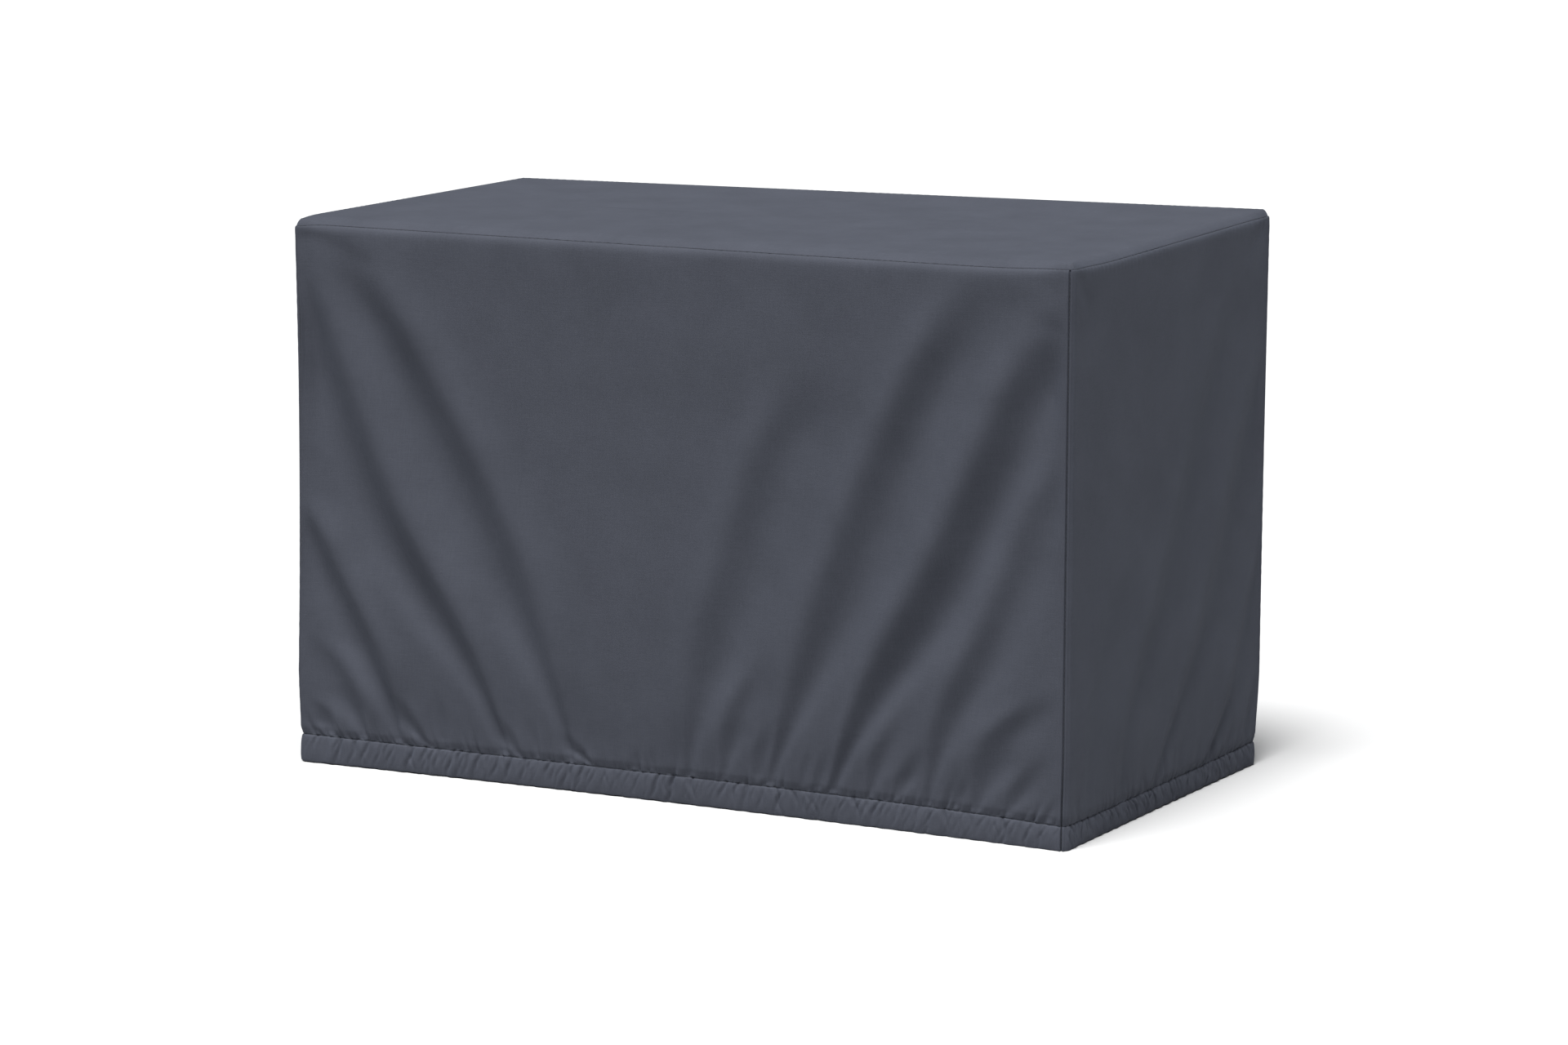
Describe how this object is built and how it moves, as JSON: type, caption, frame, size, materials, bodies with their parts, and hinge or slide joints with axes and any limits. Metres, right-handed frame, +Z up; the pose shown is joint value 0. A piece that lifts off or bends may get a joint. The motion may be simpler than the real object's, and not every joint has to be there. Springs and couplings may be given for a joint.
{
  "type": "mesh box cover",
  "caption": "Fitted box-shaped cloth cover, open below, with sewn top and side panels, soft folds and a gathered, stitched hem.",
  "frame": {"origin": "middle of the footprint, at the level of the hem", "axes": "+X along the long sides, +Y from the front panel to the back panel, +Z up from the hem to the top panel"},
  "size_m": [1.2644, 0.6755, 0.8224],
  "materials": {
    "top_cloth": "slate grey plain weave, matte with a faint sheen",
    "side_cloth": "slate grey plain weave, matte with a faint sheen"
  },
  "bodies": {
    "root": {"top_panel": "top_cloth", "front_panel": "side_cloth", "right_panel": "side_cloth", "back_panel": "side_cloth", "left_panel": "side_cloth"}
  },
  "joints": []
}
